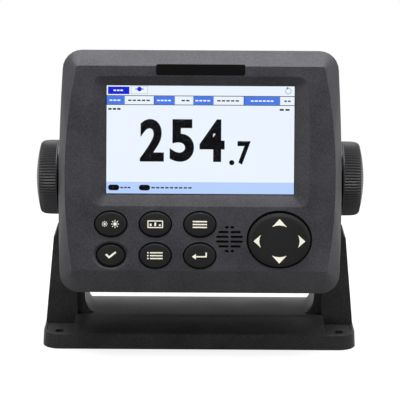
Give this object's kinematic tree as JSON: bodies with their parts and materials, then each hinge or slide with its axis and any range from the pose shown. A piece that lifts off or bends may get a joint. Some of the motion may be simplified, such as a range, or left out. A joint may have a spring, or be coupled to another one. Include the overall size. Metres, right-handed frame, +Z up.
{
  "type": "satellite compass display",
  "caption": "Dark grey display unit with a lit screen, oval keys, a round cursor pad and a sounder grille, tilting between the arms of a table bracket on two hand knobs.",
  "frame": {"origin": "middle of the bracket's underside, on the table", "axes": "+Z up, the screen faces -Y, +X to the right as seen by someone who looks at the screen"},
  "size_m": [0.1716, 0.0856, 0.1536],
  "materials": {
    "bracket_plastic": "fine grained dark grey moulding",
    "case_plastic": "fine grained dark grey moulding",
    "black_rubber": "matt black",
    "window_glass": "clear, polished",
    "lcd": "lit colour screen",
    "white_plastic": "white",
    "lcd_metal": "plain sheet",
    "amber_film": "amber film",
    "badge_black": "glossy near black, bare",
    "key_rubber": "matt black, cream printed signs",
    "black_plastic": "matt black",
    "circuit_board": "green lacquer",
    "black_cloth": "woven mesh",
    "steel": "stainless",
    "brass": "turned",
    "knob_plastic": "smooth dark grey"
  },
  "bodies": {
    "bracket": {"bracket": "bracket_plastic"},
    "display": {"front_case": "case_plastic", "rear_case": "case_plastic", "case_gasket": "black_rubber", "display_window": "window_glass", "window_gasket": "black_rubber", "lcd_panel": "lcd", "lcd_backlight": "white_plastic", "lcd_frame": "lcd_metal", "lcd_ribbon": "amber_film", "badge_plate": "badge_black", "keypad_mat": "black_rubber", "keypad_board": "circuit_board", "buzzer": "black_plastic", "buzzer_mesh": "black_cloth", "main_board": "circuit_board", "board_screws": "steel", "case_screws": "steel", "pivot_insert_left": "brass", "pivot_insert_right": "brass", "friction_washer_left": "black_rubber", "friction_washer_right": "black_rubber", "power_socket": "black_plastic", "power_contacts": "black_plastic", "data_socket": "black_plastic", "data_contacts": "black_plastic", "ground_terminal": "steel"},
    "left_washer": {"knob_washer_left": "steel"},
    "left_knob": {"knob_left": "knob_plastic", "knob_bolt_left": "steel"},
    "right_washer": {"knob_washer_right": "steel"},
    "right_knob": {"knob_right": "knob_plastic", "knob_bolt_right": "steel"},
    "cursor_rocker": {"cursor_rocker": "black_plastic"},
    "cursor_pad": {"cursor_pad": "key_rubber"},
    "brightness_key": {"brightness_key": "key_rubber"},
    "screen_key": {"screen_key": "key_rubber"},
    "menu_key": {"menu_key": "key_rubber"},
    "alarm_key": {"alarm_key": "key_rubber"},
    "list_key": {"list_key": "key_rubber"},
    "enter_key": {"enter_key": "key_rubber"}
  },
  "joints": [
    {"name": "display_tilt", "type": "hinge", "parent": "bracket", "child": "display", "pos_m": [0, 0.004, 0.0827], "axis": [-1, 0, 0], "range_deg": [-12.5, 32.5]},
    {"name": "left_knob_out", "type": "slide", "parent": "display", "child": "left_washer", "axis": [-1, 0, 0], "range_m": [0, 0.0025]},
    {"name": "left_knob_turn", "type": "hinge", "parent": "left_washer", "child": "left_knob", "pos_m": [0, 0.004, 0.0827], "axis": [-1, 0, 0], "range_deg": [0, 720]},
    {"name": "right_knob_out", "type": "slide", "parent": "display", "child": "right_washer", "axis": [1, 0, 0], "range_m": [0, 0.0025]},
    {"name": "right_knob_turn", "type": "hinge", "parent": "right_washer", "child": "right_knob", "pos_m": [0, 0.004, 0.0827], "axis": [1, 0, 0], "range_deg": [0, 720]},
    {"name": "brightness_key_press", "type": "slide", "parent": "display", "child": "brightness_key", "axis": [0, 0.9763, -0.2164], "range_m": [0, 0.0008], "stiffness_N_per_m": 1500},
    {"name": "screen_key_press", "type": "slide", "parent": "display", "child": "screen_key", "axis": [0, 0.9763, -0.2164], "range_m": [0, 0.0008], "stiffness_N_per_m": 1500},
    {"name": "menu_key_press", "type": "slide", "parent": "display", "child": "menu_key", "axis": [0, 0.9763, -0.2164], "range_m": [0, 0.0008], "stiffness_N_per_m": 1500},
    {"name": "alarm_key_press", "type": "slide", "parent": "display", "child": "alarm_key", "axis": [0, 0.9763, -0.2164], "range_m": [0, 0.0008], "stiffness_N_per_m": 1500},
    {"name": "list_key_press", "type": "slide", "parent": "display", "child": "list_key", "axis": [0, 0.9763, -0.2164], "range_m": [0, 0.0008], "stiffness_N_per_m": 1500},
    {"name": "enter_key_press", "type": "slide", "parent": "display", "child": "enter_key", "axis": [0, 0.9763, -0.2164], "range_m": [0, 0.0008], "stiffness_N_per_m": 1500},
    {"name": "cursor_up_down", "type": "hinge", "parent": "display", "child": "cursor_rocker", "pos_m": [0.04, -0.04252, 0.06229], "axis": [1, 0, 0], "range_deg": [-2, 2], "stiffness_Nm_per_rad": 0.5},
    {"name": "cursor_left_right", "type": "hinge", "parent": "cursor_rocker", "child": "cursor_pad", "pos_m": [0.04, -0.04252, 0.06229], "axis": [0, 0.2164, 0.9763], "range_deg": [-2, 2], "stiffness_Nm_per_rad": 0.5}
  ],
  "couplings": [
    {"joint": "left_knob_turn", "follows": "left_knob_out", "rad_per_m": 5026.5},
    {"joint": "right_knob_turn", "follows": "right_knob_out", "rad_per_m": 5026.5}
  ]
}
